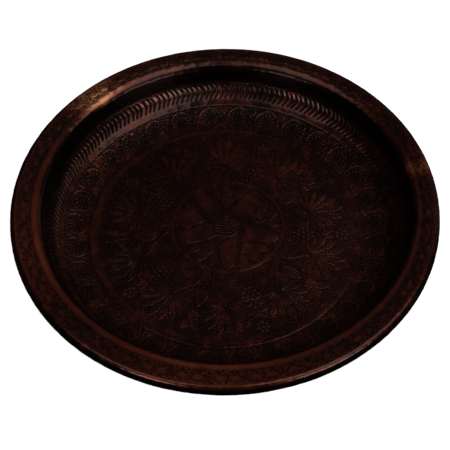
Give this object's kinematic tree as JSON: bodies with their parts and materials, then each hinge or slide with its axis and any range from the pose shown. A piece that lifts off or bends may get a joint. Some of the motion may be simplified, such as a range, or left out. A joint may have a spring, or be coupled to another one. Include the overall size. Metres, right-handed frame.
{
  "type": "tray",
  "caption": "Large round hammered copper tray: flat chased floor, dished border, steep wall with a ring of crescents, sloping rim and turned-down wired lip.",
  "frame": {"origin": "centre of the flat underside of the floor, the face the tray stands on", "axes": "+Z is the tray's axis and points up, out of the well; X and Y lie in the floor"},
  "size_m": [0.434, 0.434, 0.046],
  "materials": {
    "copper": "hammered and chased copper under a near-black brown patina, rubbed bright on the high spots",
    "iron_wire": "dull dark drawn wire"
  },
  "bodies": {
    "root": {"tray_sheet": "copper", "edge_wire": "iron_wire"}
  },
  "joints": []
}
